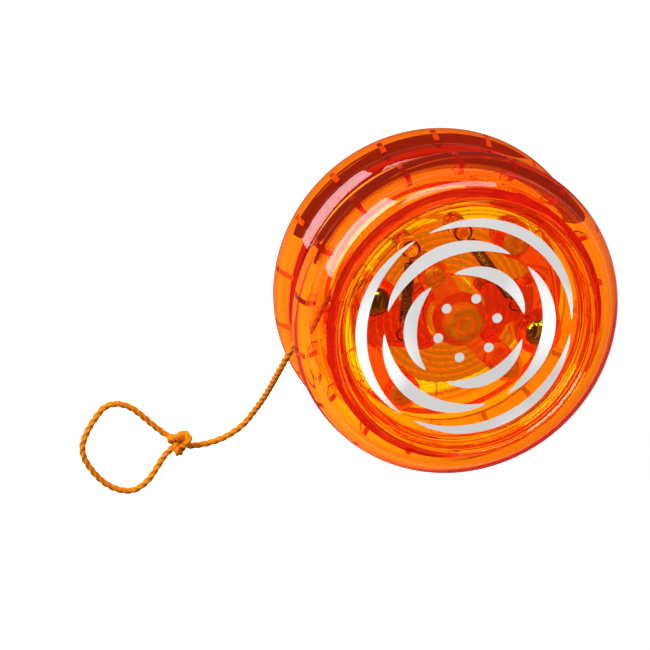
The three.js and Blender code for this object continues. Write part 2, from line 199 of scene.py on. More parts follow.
CAMERA_AIM = Vector((-21.9, -1.75, 18.35)) * MM
CAMERA_BACK = Vector((-0.2132, 0.3315, 0.9190))
CAMERA_DISTANCE = 450 * MM
CAMERA_LENS = 146.0
HORIZON_LIGHT = 0.18
OVERHEAD_LIGHT = 0.06
OVERHEAD_FROM = 0.5  # the upward slope where the sky has faded to the overhead light
POOL_AT = (-0.028, -0.028, 0.0)  # the middle of the floor's painted pool of light, in metres
POOL_RADIUS = 0.075
FLOOR_GLOW = (0.95, 1.9)  # far from the pool and in its middle
FLOOR_RADIUS = 1.5
FLOOR_STEPS = 96
FLOOR_AT = -0.0002
BACKDROP_TOP = 1.6
SOFTBOX_DISTANCE = 0.7
SOFTBOX_COLOUR = (0.8, 0.95, 1.0)
SOFTBOXES = {
    "key": {"direction": (-0.68, 0.55, 0.34), "size": (0.62, 0.42), "watts": 11},
    "top": {"direction": (0.1, 0.7, 0.68), "size": (0.5, 0.2), "watts": 2.8},
}
# Studio cards that lie round the yo-yo as painted shade, seen only by shiny and clear surfaces:
# radii in millimetres, the angles that they cover in degrees, height in metres, and whether they are
# seen through clear plastic.
BLACK_CARD = {"radii": (29.3, 160), "angles": (20, 163), "height": -0.00005, "through": True}
GREY_CARD = {"radii": (15.0, 300), "angles": (0, 360), "height": -0.00008, "through": False}
CARD_STEPS = 97
CARD_TAPER = {"depth": 9, "first": 45, "last": 12}  # in millimetres, and in degrees from each end


def facing(back, up):
    """A rotation whose local Z is back and whose local Y is as near up as it can be."""
    z = back.normalized()
    x = up.cross(z).normalized()
    return Matrix((x, z.cross(x), z)).transposed().to_4x4()


def add_camera():
    """A long lens that looks steeply down on the yo-yo and its finger loop."""
    data = bpy.data.cameras.new("camera")
    data.lens = CAMERA_LENS
    data.clip_start = 0.01
    camera = bpy.data.objects.new("camera", data)
    place = Matrix.Translation(CAMERA_AIM + CAMERA_BACK * CAMERA_DISTANCE)
    camera.matrix_world = place @ facing(CAMERA_BACK, Vector((0, 1, 0)))
    scene.collection.objects.link(camera)
    scene.camera = camera


def add_softbox(name, direction, size, watts):
    """A soft light that faces the yo-yo from a direction."""
    data = bpy.data.lights.new(name, "AREA")
    data.shape = "RECTANGLE"
    data.size, data.size_y = size
    data.energy = watts
    data.color = SOFTBOX_COLOUR
    light = bpy.data.objects.new(name, data)
    away = Vector(direction).normalized()
    light.matrix_world = Matrix.Translation(away * SOFTBOX_DISTANCE) @ facing(away, Vector((0, 0, 1)))
    scene.collection.objects.link(light)


def add_world():
    """A dim studio sky, a little brighter towards the horizon."""
    world = bpy.data.worlds.new("studio")
    world.use_nodes = True
    nodes, links = world.node_tree.nodes, world.node_tree.links
    background = nodes["Background"]
    background.inputs["Color"].default_value = (1.0, 0.995, 0.985, 1)
    direction = nodes.new("ShaderNodeTexCoord")
    split = nodes.new("ShaderNodeSeparateXYZ")
    fade = nodes.new("ShaderNodeMapRange")
    fade.inputs["From Max"].default_value = OVERHEAD_FROM
    fade.inputs["To Min"].default_value = HORIZON_LIGHT
    fade.inputs["To Max"].default_value = OVERHEAD_LIGHT
    links.new(direction.outputs["Generated"], split.inputs["Vector"])
    links.new(split.outputs["Z"], fade.inputs["Value"])
    links.new(fade.outputs["Result"], background.inputs["Strength"])
    scene.world = world


# ---- Materials -------------------------------------------------------------------------------------

RESIN_IOR = 1.46
RESIN_SHINE = (1, 0.76, 0.76, 1)
PAINTED_RESIN_GLOW = (1.0, 0.035, 0.015, 1)
PAINTED_STEEL_GLOW = (1.0, 0.16, 0.01, 1)
NYLON_GLOW = (1.0, 0.3, 0.02, 1)


class Shading:
    """A material's node tree with short calls for the nodes used here."""

    def __init__(self, name):
        self.material = bpy.data.materials.new(name)
        self.material.use_nodes = True
        self.tree = self.material.node_tree
        self.shader = self.tree.nodes["Principled BSDF"]
        self.output = self.tree.nodes["Material Output"]
        self.place = self.node("ShaderNodeTexCoord").outputs["Object"]

    def node(self, kind, **settings):
        made = self.tree.nodes.new(kind)
        for key, value in settings.items():
            if key in made.inputs:
                made.inputs[key].default_value = value
            else:
                setattr(made, key, value)
        return made

    def link(self, output, target):
        self.tree.links.new(output, target)

    def set(self, **values):
        for key, value in values.items():
            self.shader.inputs[key.replace("_", " ")].default_value = value

    def noise(self, scale, detail=2.0, stretch=None):
        """Noise in the object's own metres; scale is in features per metre."""
        place = self.place
        if stretch:
            mapping = self.node("ShaderNodeMapping", Scale=stretch)
            self.link(place, mapping.inputs["Vector"])
            place = mapping.outputs["Vector"]
        noise = self.node("ShaderNodeTexNoise", Scale=scale, Detail=detail)
        self.link(place, noise.inputs["Vector"])
        return noise.outputs["Fac"]

    def ramp(self, value, low, high, colours):
        """Value from low to high mapped on evenly spaced colours."""
        ramp = self.node("ShaderNodeValToRGB")
        elements = ramp.color_ramp.elements
        while len(elements) < len(colours):
            elements.new(0.5)
        for i, colour in enumerate(colours):
            elements[i].position = low + (high - low) * i / (len(colours) - 1)
            elements[i].color = (*colour, 1)
        self.link(value, ramp.inputs["Fac"])
        return ramp.outputs["Color"]

    def spread(self, value, low, high):
        """Value from 0..1 brought to low..high."""
        made = self.node("ShaderNodeMapRange")
        made.inputs["To Min"].default_value = low
        made.inputs["To Max"].default_value = high
        self.link(value, made.inputs["Value"])
        return made.outputs["Result"]

    def bump(self, *layers):
        """Stacked bumps, each (height, distance in metres, strength)."""
        normal = None
        for height, distance, strength in layers:
            bump = self.node("ShaderNodeBump", Strength=strength, Distance=distance)
            self.link(height, bump.inputs["Height"])
            if normal is not None:
                self.link(normal, bump.inputs["Normal"])
            normal = bump.outputs["Normal"]
        self.link(normal, self.shader.inputs["Normal"])


def clear_resin(name, absorbs, roughness, ripple, glow):
    """Clear fluorescent plastic with a painted glow; absorbs gives what it takes of red, green and blue,
    per metre.
    """
    made = Shading(name)
    made.set(Base_Color=(1, 1, 1, 1), Transmission_Weight=1.0, IOR=RESIN_IOR, Specular_Tint=RESIN_SHINE)
    made.set(Emission_Color=PAINTED_RESIN_GLOW, Emission_Strength=glow)
    volume = made.node("ShaderNodeVolumeAbsorption")
    most = max(absorbs)
    volume.inputs["Color"].default_value = (*[1 - a / most for a in absorbs], 1)
    volume.inputs["Density"].default_value = most
    made.link(volume.outputs["Volume"], made.output.inputs["Volume"])
    wear = made.noise(900, 3)
    made.link(made.spread(wear, *roughness), made.shader.inputs["Roughness"])
    flow = made.noise(160, 1)
    grain = made.noise(2500, 2)
    made.bump((flow, ripple, 1.0), (grain, 0.000001, 0.5))
    return made.material


def bright_steel(name, tones, roughness, metallic=1.0, glow=0.0):
    """Steel mottled between two tones; a low metallic and a painted glow make it look coppery."""
    made = Shading(name)
    made.set(Metallic=metallic, Emission_Color=PAINTED_STEEL_GLOW, Emission_Strength=glow)
    made.link(made.ramp(made.noise(700, 4), 0.35, 0.65, tones), made.shader.inputs["Base Color"])
    made.link(made.spread(made.noise(3000, 3), *roughness), made.shader.inputs["Roughness"])
    made.bump((made.noise(5000, 2, (1, 1, 0.15)), 0.000008, 0.6))
    return made.material


def cotton_string(name, colours, glow):
    """Dull fibres, dark to light, with a painted glow in the lightest colour."""
    made = Shading(name)
    fibre = made.noise(9000, 3, (1, 1, 0.5))
    made.link(made.ramp(fibre, 0.3, 0.7, colours), made.shader.inputs["Base Color"])
    made.set(Roughness=0.9, Specular_IOR_Level=0.08)
    made.set(Sheen_Weight=0.05, Sheen_Roughness=0.5, Sheen_Tint=(1, 0.5, 0.2, 1))
    made.set(Emission_Color=(*colours[-1], 1), Emission_Strength=glow)
    made.bump((fibre, 0.00008, 0.7))
    return made.material


def silver_print(name):
    """Silver ink, in broad patches of a darker and a lighter tone, with a painted glow in the same tone."""
    made = Shading(name)
    tone = made.ramp(made.noise(45, 1), 0.4, 0.6, [(0.6, 0.53, 0.51), (1.0, 0.9, 0.87)])
    made.link(tone, made.shader.inputs["Base Color"])
    made.link(tone, made.shader.inputs["Emission Color"])
    made.set(Metallic=0.2, Emission_Strength=0.42)
    made.link(made.spread(made.noise(2500, 3), 0.28, 0.42), made.shader.inputs["Roughness"])
    made.bump((made.noise(8000, 2), 0.000006, 0.5))
    return made.material


def studio_card(name, brightness):
    """Dark card that glows evenly, so its brightness doesn't depend on the lights."""
    made = Shading(name)
    made.set(Roughness=1.0, Specular_IOR_Level=0.0)
    made.set(Emission_Color=(1, 1, 1, 1), Emission_Strength=brightness)
    tones = [(0.01, 0.01, 0.01), (0.02, 0.02, 0.02)]
    made.link(made.ramp(made.noise(30), 0.3, 0.7, tones), made.shader.inputs["Base Color"])
    return made.material


def moulded_nylon(name):
    """Satin orange nylon, lit up as if by the clear plastic round it."""
    made = Shading(name)
    made.set(Emission_Color=NYLON_GLOW, Emission_Strength=0.35)
    colours = [(0.8, 0.2, 0.02), (0.9, 0.28, 0.03)]
    made.link(made.ramp(made.noise(500, 3), 0.3, 0.7, colours), made.shader.inputs["Base Color"])
    made.link(made.spread(made.noise(2000, 2), 0.35, 0.5), made.shader.inputs["Roughness"])
    made.bump((made.noise(4000, 2), 0.00001, 0.5))
    return made.material


def floor_paper(name):
    """Paper that looks pale because it glows, brightest in a painted pool of light beside the yo-yo."""
    made = Shading(name)
    tones = [(0.14, 0.14, 0.14), (0.16, 0.16, 0.16)]
    made.link(made.ramp(made.noise(40, 3), 0.3, 0.7, tones), made.shader.inputs["Base Color"])
    made.set(Roughness=0.9, Specular_IOR_Level=0.1, Emission_Color=(1, 1, 1, 1))
    away = made.node("ShaderNodeVectorMath", operation="DISTANCE")
    made.link(made.place, away.inputs[0])
    away.inputs[1].default_value = POOL_AT
    pool = made.node("ShaderNodeMapRange", interpolation_type="SMOOTHSTEP")
    pool.inputs["From Max"].default_value = POOL_RADIUS
    pool.inputs["To Min"].default_value = FLOOR_GLOW[1]
    pool.inputs["To Max"].default_value = FLOOR_GLOW[0]
    made.link(away.outputs["Value"], pool.inputs["Value"])
    made.link(pool.outputs["Result"], made.shader.inputs["Emission Strength"])
    return made.material


# The last number of each resin is its painted glow: light that it gives off whatever the lamps do.
RESIN = clear_resin("orange_resin", (72, 325, 2600), (0.0, 0.02), 0.00003, 0.1)
PLATE_RESIN = clear_resin("plate_resin", (12, 110, 2400), (0.0, 0.02), 0.00003, 0.02)
CAP_RESIN = clear_resin("cap_resin", (4, 90, 2200), (0.0, 0.015), 0.00001, 0.01)
ARM_RESIN = clear_resin("clutch_resin", (50, 430, 2800), (0.02, 0.06), 0.00006, 0.08)
STEEL = bright_steel("plated_steel", ((0.8, 0.17, 0.03), (1.0, 0.3, 0.07)), (0.3, 0.5), 0.3, 0.2)
# The ball and spring steel are dark brown, darker than bare steel: painted shade for parts seen backlit in
# the clutch.
BALL_STEEL = bright_steel("ball_steel", ((0.3, 0.2, 0.13), (0.42, 0.29, 0.18)), (0.04, 0.12))
SPRING_STEEL = bright_steel("spring_steel", ((0.16, 0.07, 0.02), (0.36, 0.16, 0.05)), (0.25, 0.4))
# The wound string's fibres are lighter and glow more than the rest: painted light for the winding inside
# the plastic.
PLAIN_FIBRES = [(0.2, 0.04, 0.001), (0.58, 0.13, 0.002), (0.75, 0.19, 0.003)]
PAINTED_LIT_FIBRES = [(0.75, 0.2, 0.005), (0.9, 0.32, 0.01), (1.0, 0.42, 0.02)]
COTTON = cotton_string("orange_cotton", PLAIN_FIBRES, 0.1)
PAINTED_LIT_COTTON = cotton_string("wound_cotton", PAINTED_LIT_FIBRES, 0.38)
SILVER = silver_print("silver_print")
NYLON = moulded_nylon("drum_nylon")
PAPER = floor_paper("floor_paper")
BLACK_PAPER = studio_card("black_card", 0.02)
GREY_PAPER = studio_card("grey_card", 0.12)


# ---- Mesh tools ------------------------------------------------------------------------------------


def full_turn(steps):
    """Angles once round, in radians."""
    return np.linspace(0, 2 * math.pi, steps, endpoint=False)


def ellipse(r, z, a, b, start, end, steps):
    """Points along an ellipse about (r, z), angles in degrees."""
    angles = np.radians(np.linspace(start, end, steps + 1))
    return [(r + a * math.cos(t), z + b * math.sin(t)) for t in angles]


def filleted(corners, steps=5):
    """A closed profile of (r, z) or (r, z, fillet radius) corners, with arcs at the filleted ones."""
    made = []
    count = len(corners)
    for i, corner in enumerate(corners):
        if len(corner) == 2:
            made.append(corner)
            continue
        here = np.array(corner[:2], float)
        before = np.array(corners[i - 1][:2], float) - here
        after = np.array(corners[(i + 1) % count][:2], float) - here
        reach = min(corner[2], 0.49 * np.linalg.norm(before), 0.49 * np.linalg.norm(after))
        start = here + before / np.linalg.norm(before) * reach
        end = here + after / np.linalg.norm(after) * reach
        for t in np.linspace(0, 1, steps + 1):
            point = (1 - t) ** 2 * start + 2 * t * (1 - t) * here + t**2 * end
            made.append((float(point[0]), float(point[1])))
    return made


def turned(bm, profile, steps, centre=(0.0, 0.0)):
    """A closed (r, z) profile turned about an upright axis."""
    rings = []
    for r, z in profile:
        angles = [0.0] if r < 1e-6 else [2 * math.pi * i / steps for i in range(steps)]
        rings.append([
            bm.verts.new((centre[0] + r * math.cos(t), centre[1] + r * math.sin(t), z)) for t in angles
        ])
    for low, high in zip(rings, rings[1:] + rings[:1]):
        if len(low) == len(high) == 1:
            continue
        for i in range(steps):
            j = (i + 1) % steps
            corners = [low[i % len(low)], low[j % len(low)], high[j % len(high)], high[i % len(high)]]
            bm.faces.new(list(dict.fromkeys(corners)))


def swept(bm, path, section):
    """A tube along path; section(i) gives its (across, up) points at point i."""
    points = [Vector(p) for p in path]
    count = len(points)
    ahead = [(points[min(i + 1, count - 1)] - points[max(i - 1, 0)]).normalized() for i in range(count)]
    across = ahead[0].orthogonal().normalized()
    rings = []
    for i, (point, along) in enumerate(zip(points, ahead)):
        across = (across - along * across.dot(along)).normalized()
        up = along.cross(across)
        rings.append([bm.verts.new(point + across * a + up * b) for a, b in section(i)])
    for low, high in zip(rings, rings[1:]):
        for k in range(len(low)):
            m = (k + 1) % len(low)
            bm.faces.new((low[k], low[m], high[m], high[k]))
    bm.faces.new(list(reversed(rings[0])))
    bm.faces.new(rings[-1])


def box(bm, size, centre=(0, 0, 0), turn=0.0):
    """A block at centre, then turned about the upright axis."""
    place = Matrix.Rotation(turn, 4, "Z") @ Matrix.Translation(centre) @ Matrix.Diagonal((*size, 1))
    bmesh.ops.create_cube(bm, size=1.0, matrix=place)


def spline(points, steps, closed=False):
    """A smooth curve through points, steps to each span (Catmull-Rom)."""
    p = np.array(points, float)
    if closed:
        p = np.vstack([p[-1], p, p[0], p[1]])
    else:
        p = np.vstack([2 * p[0] - p[1], p, 2 * p[-1] - p[-2]])
    made = []
    for a, b, c, d in zip(p, p[1:], p[2:], p[3:]):
        for t in np.arange(steps) / steps:
            square = (2 * a - 5 * b + 4 * c - d) * t**2
            cube = (3 * b - a - 3 * c + d) * t**3
            made.append(0.5 * (2 * b + (c - a) * t + square + cube))
    if not closed:
        made.append(p[-2])
    return np.array(made)


def evenly(points, step):
    """The same line with its points step apart."""
    p = np.array(points, float)
    along = np.concatenate([[0], np.cumsum(np.linalg.norm(np.diff(p, axis=0), axis=1))])
    at = np.linspace(0, along[-1], round(along[-1] / step) + 1)
    return np.stack([np.interp(at, along, p[:, k]) for k in range(3)], axis=1)


def finished(bm, name, material, sharp=35.0, rear=False, lift=HALF_WIDTH, turn=0.0):
    """A shaded object in metres, from a mesh in millimetres whose Z is 0 at the gap's middle.

    Edges that bend more than sharp degrees stay crisp. A rear piece is turned over, turn spins a piece
    about the axle, and lift is 0 for a mesh that is measured from the table.
    """
    place = Matrix.Rotation(turn, 4, "Z")
    if rear:
        place = Matrix.Rotation(math.pi, 4, "X") @ place
    place = Matrix.Diagonal((MM, MM, MM, 1)) @ Matrix.Translation((0, 0, lift)) @ place
    bmesh.ops.transform(bm, matrix=place, verts=bm.verts)
    bmesh.ops.recalc_face_normals(bm, faces=bm.faces)
    for face in bm.faces:
        face.smooth = True
    for edge in bm.edges:
        if len(edge.link_faces) == 2:
            edge.smooth = edge.calc_face_angle(0) < math.radians(sharp)
    mesh = bpy.data.meshes.new(name)
    bm.to_mesh(mesh)
    bm.free()
    mesh.materials.append(material)
    piece = bpy.data.objects.new(name, mesh)
    scene.collection.objects.link(piece)
    return piece


def combined(base, tools, operation):
    """Base joined with or cut by the other meshes. All are bmeshes in millimetres, and are used up."""
    objects = []
    for bm in [base, *tools]:
        bmesh.ops.recalc_face_normals(bm, faces=bm.faces)
        mesh = bpy.data.meshes.new("solid")
        bm.to_mesh(mesh)
        bm.free()
        objects.append(bpy.data.objects.new("solid", mesh))
        scene.collection.objects.link(objects[-1])
    for tool in objects[1:]:
        modifier = objects[0].modifiers.new("with", "BOOLEAN")
        modifier.object = tool
        modifier.operation = operation
        modifier.solver = "EXACT"
    made = bmesh.new()
    made.from_object(objects[0], bpy.context.evaluated_depsgraph_get())
    for item in objects:
        mesh = item.data
        bpy.data.objects.remove(item)
        bpy.data.meshes.remove(mesh)
    bmesh.ops.dissolve_degenerate(made, dist=1e-4, edges=made.edges)
    return made


def moulded_plate(outline, holes, bottom, top, bevel):
    """A flat piece with rounded edges, from an outline and its holes."""
    data = bpy.data.curves.new("plate", "CURVE")
    data.dimensions = "2D"
    data.fill_mode = "BOTH"
    data.extrude = (top - bottom) / 2 - bevel
    data.bevel_depth = bevel
    data.bevel_resolution = 2
    data.offset = -bevel
    for loop in [outline, *holes]:
        line = data.splines.new("POLY")
        line.points.add(len(loop) - 1)
        for point, (x, y) in zip(line.points, loop):
            point.co = (x, y, 0, 1)
        line.use_cyclic_u = True
    item = bpy.data.objects.new("plate", data)
    scene.collection.objects.link(item)
    bm = bmesh.new()
    mesh = bpy.data.meshes.new_from_object(item.evaluated_get(bpy.context.evaluated_depsgraph_get()))
    bm.from_mesh(mesh)
    bpy.data.objects.remove(item)
    bpy.data.curves.remove(data)
    bpy.data.meshes.remove(mesh)
    bmesh.ops.remove_doubles(bm, verts=bm.verts, dist=1e-4)
    bmesh.ops.translate(bm, verts=bm.verts, vec=(0, 0, (bottom + top) / 2))
    return bm


def circle(centre, r, steps=SMALL_STEPS):
    """Points once round a circle."""
    return [(centre[0] + r * math.cos(t), centre[1] + r * math.sin(t)) for t in full_turn(steps)]


def capsule(start, end, r, steps=16):
    """The outline of a bar with round ends."""
    angle = math.atan2(end[1] - start[1], end[0] - start[0])
    made = []
    for centre, first in ((start, angle + math.pi / 2), (end, angle - math.pi / 2)):
        for t in np.linspace(first, first + math.pi, steps + 1):
            made.append((centre[0] + r * math.cos(t), centre[1] + r * math.sin(t)))
    return made


def turned_mesh(profile, steps, centre=(0.0, 0.0)):
    """A new mesh with one turned solid in it."""
    bm = bmesh.new()
    turned(bm, profile, steps, centre)
    return bm


def rod(centre, r, bottom, top, edge=0.0, steps=SMALL_STEPS):
    """A round bar with a rounded top edge."""
    return turned_mesh(filleted([(0, bottom), (r, bottom), (r, top, edge), (0, top)]), steps, centre)


def opposite(point):
    """The same point on the other clutch arm's side."""
    return (-point[0], -point[1])


# ---- Rim shells, side plates and caps ----------------------------------------------------------------


def shell_profile():
    """A hollow rim with a rounded outside, the cap's bore and ledge, and the clutch chamber's wall."""
    g, f = GAP_SHOULDER, FACE_SHOULDER
    seam_angle = math.degrees(math.acos((SEAM - g["r"]) / g["a"]))
    inner = {"a": f["a"] - WALL, "b": f["b"] - WALL}
    roof_angle = math.degrees(math.asin((ROOF - WIDEST_AT) / inner["b"]))
    return filleted([
        *ellipse(g["r"], WIDEST_AT, g["a"], g["b"], -seam_angle, 0, 14),
        *ellipse(f["r"], WIDEST_AT, f["a"], f["b"], 0, CREST_ANGLE, 26)[1:],
        (CREST_R, HALF_WIDTH, 0.3),
        (BORE, BORE_TOP, 0.3),
        (BORE, LEDGE, 0.15),
        (CHAMBER, LEDGE, 0.3),
        (CHAMBER, FOOT),
        (CHAMBER + CHAMBER_WALL, FOOT),
        (CHAMBER + CHAMBER_WALL, LEDGE - CHAMBER_WALL, 0.5),
        (BORE + CHAMBER_WALL, LEDGE, 0.5),
        *ellipse(f["r"], WIDEST_AT, inner["a"], inner["b"], roof_angle, 0, 12),
        (SEAM, SEAM_FOOT, 0.3),
    ])


def gussets():
    """Short ribs inside the rim's wall, near the gap."""
    outline, half = GUSSETS["outline"], GUSSETS["thickness"] / 2
    bm = bmesh.new()
    for i in range(GUSSETS["count"]):
        turn = Matrix.Rotation((i + 0.5) * 2 * math.pi / GUSSETS["count"], 4, "Z")
        sides = []
        for y in (-half, half):
            sides.append([bm.verts.new(turn @ Vector((r, y, z))) for r, z in outline])
        bm.faces.new(sides[0])
        bm.faces.new(list(reversed(sides[1])))
        for k in range(len(outline)):
            m = (k + 1) % len(outline)
            bm.faces.new((sides[0][k], sides[1][k], sides[1][m], sides[0][m]))
    return bm


def shoulder_height(r):
    """The height of the shell's outside next to the gap, which the plate carries on."""
    g = GAP_SHOULDER
    return WIDEST_AT - g["b"] * math.sqrt(1 - ((r - g["r"]) / g["a"]) ** 2)


def plate_edge():
    """The plate's outside from where it starts to curve to its rim."""
    edge = SEAM - SLIP
    curve = [(r, shoulder_height(r)) for r in np.linspace(GAP_SHOULDER["r"], edge, 10)]
    return [*curve, (edge, PLATE_TOP, 0.2)]


def front_plate():
    """The clutch's plate: bridge pillars, spring posts, and holes for the pivot and bridge screws."""
    profile = filleted([(PLATE_HOLE, GAP_HALF, 0.3), *plate_edge(), (PLATE_HOLE, PLATE_TOP, 0.3)])
    sunk = PLATE_TOP - SINK
    posts, holes = [], []
    for side in "ab":
        posts.append(rod(PILLARS[side], PILLAR_R, sunk, BRIDGE_BOTTOM - 0.05, 0.2))
        posts.append(rod(POSTS[side], POST_FOOT_R, sunk, SPRING_HEIGHT - 1.2, 0.3))
        posts.append(rod(POSTS[side], POST_R, sunk, PIN_TOP, 0.4))
        pivot = PIVOT if side == "a" else opposite(PIVOT)
        holes.append(rod(pivot, PIVOT_HOLE_R, 1.8, 6))
        holes.append(rod(PILLARS[side], SCREW_HOLE_R, 5.0, 12))
    made = combined(turned_mesh(profile, ROUND_STEPS), posts, "UNION")
    return combined(made, holes, "DIFFERENCE")


def rear_plate():
    """A stiffened plate with a recess for the drum and a hexagonal pocket for the bolt's head."""
    profile = filleted([(0, GAP_HALF), *plate_edge(), (0, PLATE_TOP)])
    boss = rod((0, 0), REAR_BOSS["r"], PLATE_TOP - SINK, REAR_BOSS["top"], 0.4)
    stiffeners = []
    for i in range(STIFFENERS["count"]):
        bm = bmesh.new()
        turn = (i + 0.5) * 2 * math.pi / STIFFENERS["count"]
        box(bm, STIFFENERS["size"], (STIFFENERS["r"], 0, PLATE_TOP + 0.4), turn)
        stiffeners.append(bm)
    made = combined(turned_mesh(profile, ROUND_STEPS), [boss, *stiffeners], "UNION")
    recess = rod((0, 0), PLATE_HOLE, 0, RECESS_TOP)
    bore = rod((0, 0), BOLT_HOLE_R, 1, 12)
    corner = POCKET["across"] / math.sqrt(3)
    pocket = turned_mesh([(0, POCKET["from"]), (corner, POCKET["from"]), (corner, 12), (0, 12)], 6)
    return combined(made, [recess, bore, pocket], "DIFFERENCE")


def dome(r):
    """The cap's height at radius r."""
    return CAP_EDGE + (CAP_CROWN - CAP_EDGE) * (1 - (r / CAP_RADIUS) ** 2)


def cap():
    """A thin dome with a short skirt and fine grooves round its edge."""
    lip, floor, depth = GROOVE["lip"], GROOVE["floor"], GROOVE["depth"]
    top = []
    for middle in CAP_GROOVES:
        for shift, dip in ((lip, 0.0), (floor, depth), (-floor, depth), (-lip, 0.0)):
            r = middle + shift
            top.append((r, dome(r) - dip))
    top += [(r, dome(r)) for r in np.linspace(19.0, 0, 24)]
    under = [(r, dome(r) - CAP_THICKNESS) for r in np.linspace(0, 20.6, 24)]
    return turned_mesh(filleted([
        (CAP_SKIRT_R, LEDGE + SLIP, 0.15),
        (CAP_RADIUS, LEDGE + SLIP, 0.15),
        (CAP_RADIUS, CAP_EDGE, 0.35),
        *top,
        *under,
        (CAP_SKIRT_R, dome(CAP_SKIRT_R) - CAP_THICKNESS, 0.25),
    ]), ROUND_STEPS)


def print_arc(bm, r, start, end, width, steps=48):
    """A thin tapered arc that follows the cap's dome, just above it."""
    rows = []
    for t in np.linspace(0, 1, steps + 1):
        angle = math.radians(start + (end - start) * t)
        half = max(width * math.sin(math.pi * t) ** 0.7 / 2, 0.02)
        row = []
        for radius in (r - half, r + half):
            for above in PRINT_LAYER:
                z = dome(radius) + above
                row.append(bm.verts.new((radius * math.cos(angle), radius * math.sin(angle), z)))
        rows.append([row[0], row[1], row[3], row[2]])
    for low, high in zip(rows, rows[1:]):
        for k in range(4):
            m = (k + 1) % 4
            bm.faces.new((low[k], high[k], high[m], low[m]))
    bm.faces.new(rows[0])
    bm.faces.new(list(reversed(rows[-1])))


def cap_print():
    """Rings of tapered arcs round a ring of dots."""
    bm = bmesh.new()
    for r, width, sweep, shift in PRINT_ARCS:
        for i in range(ARCS_TO_A_RING):
            start = shift + 360 / ARCS_TO_A_RING * i
            print_arc(bm, r, start, start + sweep, width)
    low, high = DOTS["layer"]
    for i in range(DOTS["count"]):
        angle = math.radians(DOTS["first"] + 360 / DOTS["count"] * i)
        centre = (DOTS["ring_r"] * math.cos(angle), DOTS["ring_r"] * math.sin(angle))
        turned(bm, [(0, low), (DOTS["r"], low), (DOTS["r"], high), (0, high)], 32, centre)
    return bm


def add_halves():
    """Both halves' shells, plates and caps, and the front cap's print."""
    for rear, name in ((False, "front"), (True, "rear")):
        moulding = combined(turned_mesh(shell_profile(), ROUND_STEPS), [gussets()], "UNION")
        shell = finished(moulding, f"{name}_shell", RESIN, rear=rear)
        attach(shell, "housing")
        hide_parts(f"{name}_rim_shell")
        plate = finished(rear_plate() if rear else front_plate(), f"{name}_plate", PLATE_RESIN, rear=rear)
        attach(plate, "housing")
        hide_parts(f"{name}_side_plate")
        lens = finished(cap(), f"{name}_lens", CAP_RESIN, rear=rear)
        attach(lens, "housing")
        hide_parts(f"{name}_cap")
    printed = finished(cap_print(), "front_print", SILVER)
    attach(printed, "housing")


# ---- The clutch ----------------------------------------------------------------------------------------


def clutch_arm():
    """Arm A: its outline kept clear of the drum, with the ball's collar, a pivot boss and a spring hook."""
    outline = []
    for x, y, _ in spline([(x, y, 0) for x, y in ARM_OUTLINE], 8, closed=True):
        r = math.hypot(x, y)
        push = max(1.0, SHOE_R / r)
        outline.append((x * push, y * push))
    body = moulded_plate(outline, [circle(PIVOT, PIVOT_HOLE_R)], ARM_BOTTOM, ARM_TOP, 0.35)
    collar = rod(BALL, COLLAR_R, ARM_BOTTOM + 0.01, COLLAR_TOP, 0.4, 64)
    boss_top = ARM_TOP + 0.35
    ring = filleted([(2.5, 7), (3.0, 7), (3.0, boss_top, 0.2), (2.5, boss_top, 0.2)])
    boss = turned_mesh(ring, SMALL_STEPS, PIVOT)
    hook = rod(ARM_HOOK, HOOK_R, ARM_TOP - SINK, PIN_TOP, 0.3, 32)
    r, lip_r, lip = BALL_POCKET["r"], BALL_POCKET["lip_r"], BALL_POCKET["lip_from"]
    pocket = turned_mesh([(0, 0), (r, 0), (r, lip), (lip_r, COLLAR_TOP), (lip_r, 20), (0, 20)], 64, BALL)
    return combined(combined(body, [collar, boss, hook], "UNION"), [pocket], "DIFFERENCE")


def ball():
    """Arm A's weight ball."""
    bm = bmesh.new()
    place = Matrix.Translation((*BALL, BALL_HEIGHT))
    bmesh.ops.create_uvsphere(bm, u_segments=64, v_segments=40, radius=BALL_R, matrix=place)
    return bm


def screw(at, shank, bottom, seat, head, height):
    """A pan-head screw with a cross recess; shank and head are radii, and height is the head's."""
    body = turned_mesh(filleted([
        (0, bottom),
        (shank, bottom, 0.2),
        (shank, seat),
        (head, seat, 0.1),
        (head, seat + 0.55 * height, 0.35),
        (0.55 * head, seat + height, 0.3),
        (0, seat + height),
    ]), SMALL_STEPS, at)
    slots = []
    for turn in (CROSS_TURN, CROSS_TURN + math.pi / 2):
        bm = bmesh.new()
        box(bm, (1.35 * head, 0.28 * head, height))
        place = Matrix.Translation((*at, seat + height)) @ Matrix.Rotation(turn, 4, "Z")
        bmesh.ops.transform(bm, matrix=place, verts=bm.verts)
        slots.append(bm)
    return combined(body, slots, "DIFFERENCE")


